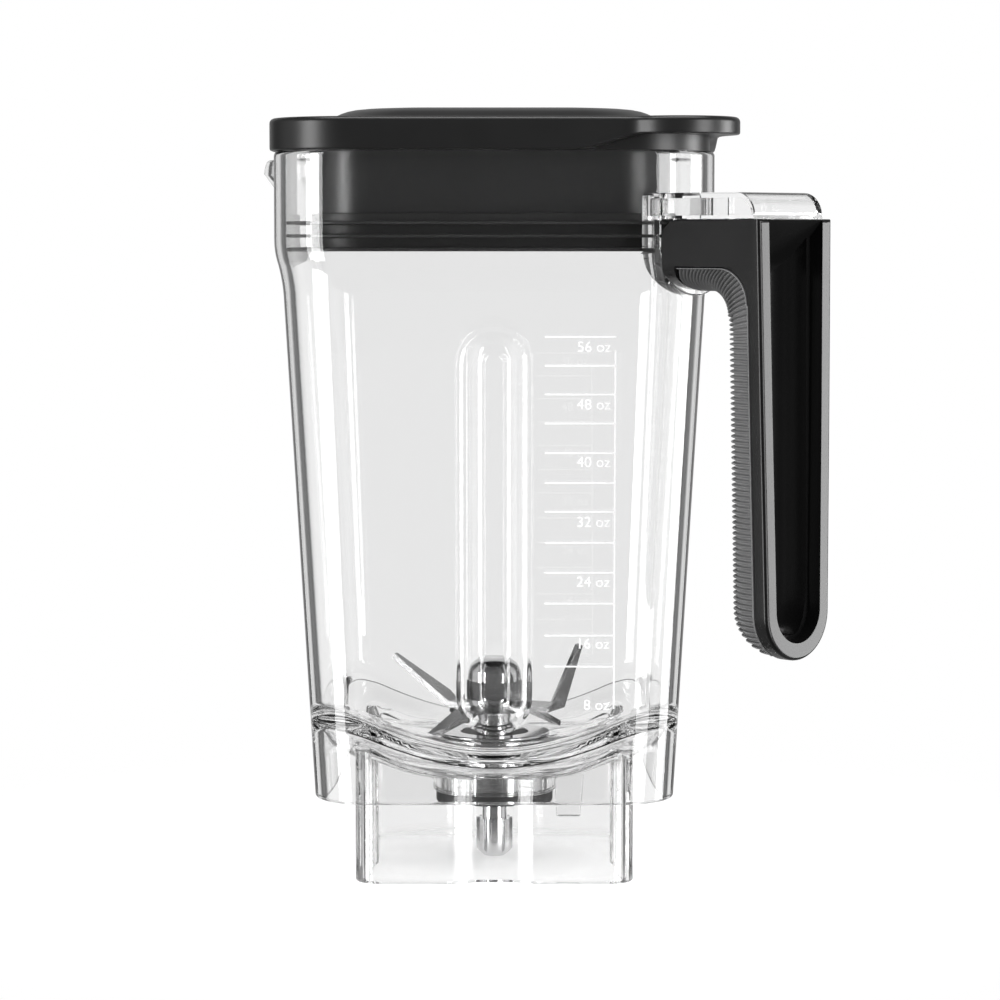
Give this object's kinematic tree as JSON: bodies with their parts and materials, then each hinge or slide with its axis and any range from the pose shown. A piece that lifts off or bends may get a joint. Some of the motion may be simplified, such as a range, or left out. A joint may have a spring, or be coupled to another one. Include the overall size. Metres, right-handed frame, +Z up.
{
  "type": "blender jar",
  "caption": "Clear square blender jar with a black push-fit lid, corner handle with ribbed grip, and a blade unit on a splined drive.",
  "frame": {"origin": "on the drive axis, in the plane of the collar's foot, where the jar seats on its drive base", "axes": "+Z up along the drive axis; the handle points towards +X -Y and the pouring nose towards -X +Y"},
  "size_m": [0.181, 0.181, 0.2441],
  "materials": {
    "clear_plastic": "water-clear moulded copolyester, glossy",
    "lid_plastic": "black, satin moulded",
    "seal_rubber": "black moulded rubber",
    "handle_plastic": "black, satin moulded",
    "grip_rubber": "black soft-touch, ribbed",
    "fastener_steel": "zinc plated",
    "polished_steel": "polished stainless",
    "blade_steel": "ground stainless",
    "shaft_steel": "turned stainless",
    "housing_metal": "turned, plain",
    "nut_plastic": "black moulded",
    "bearing_steel": "ground bearing steel"
  },
  "bodies": {
    "jar": {"jar_body": "clear_plastic", "handle_shell": "handle_plastic", "handle_grip": "grip_rubber", "handle_screws": "fastener_steel", "bearing_housing": "housing_metal", "floor_gasket": "seal_rubber", "retaining_nut": "nut_plastic", "shaft_seal": "seal_rubber", "upper_bearing_outer_ring": "bearing_steel", "upper_bearing_balls": "bearing_steel", "lower_bearing_outer_ring": "bearing_steel", "lower_bearing_balls": "bearing_steel"},
    "lid": {"lid": "lid_plastic", "lid_seal": "seal_rubber"},
    "blade_unit": {"blade_dome_nut": "polished_steel", "upper_blade": "blade_steel", "lower_blade": "blade_steel", "blade_washer": "polished_steel", "drive_shaft": "shaft_steel", "shaft_circlip": "fastener_steel", "drive_coupler": "shaft_steel", "bearing_spacer": "shaft_steel", "upper_bearing_inner_ring": "bearing_steel", "lower_bearing_inner_ring": "bearing_steel"}
  },
  "joints": [
    {"name": "lid_lift", "type": "slide", "parent": "jar", "child": "lid", "axis": [0, 0, 1], "range_m": [0, 0.045]},
    {"name": "blade_spin", "type": "hinge", "parent": "jar", "child": "blade_unit", "pos_m": [0, 0, 0.0486], "axis": [0, 0, 1], "continuous": true}
  ]
}
